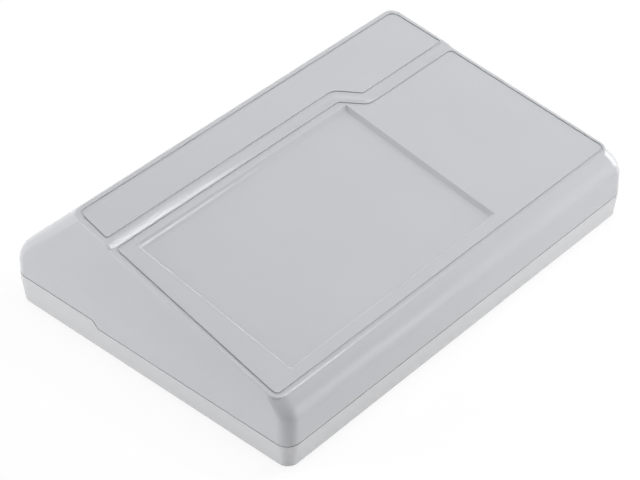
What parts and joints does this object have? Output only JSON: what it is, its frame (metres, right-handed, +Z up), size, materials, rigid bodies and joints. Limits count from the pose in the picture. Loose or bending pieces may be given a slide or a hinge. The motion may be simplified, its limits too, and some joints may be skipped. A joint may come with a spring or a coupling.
{
  "type": "desktop console enclosure",
  "caption": "Empty desktop console case with a low front, sloping top, shallow keypad recess, raised display strip, and a lower shell on rubber feet.",
  "frame": {"origin": "middle of the case's outline, at the level that the feet stand on", "axes": "+X to the right as the user sees it, +Y from the low front to the high back, +Z up"},
  "size_m": [0.19, 0.136, 0.0499],
  "materials": {
    "upper_plastic": "light grey moulded ABS with a fine even texture",
    "lower_plastic": "light grey moulded ABS with a fine even texture",
    "screw_steel": "zinc-plated steel",
    "foot_rubber": "matte black rubber"
  },
  "bodies": {
    "root": {"upper_shell": "upper_plastic", "lower_shell": "lower_plastic", "case_screws": "screw_steel", "foot_front_left": "foot_rubber", "foot_front_right": "foot_rubber", "foot_rear_left": "foot_rubber", "foot_rear_right": "foot_rubber"}
  },
  "joints": []
}
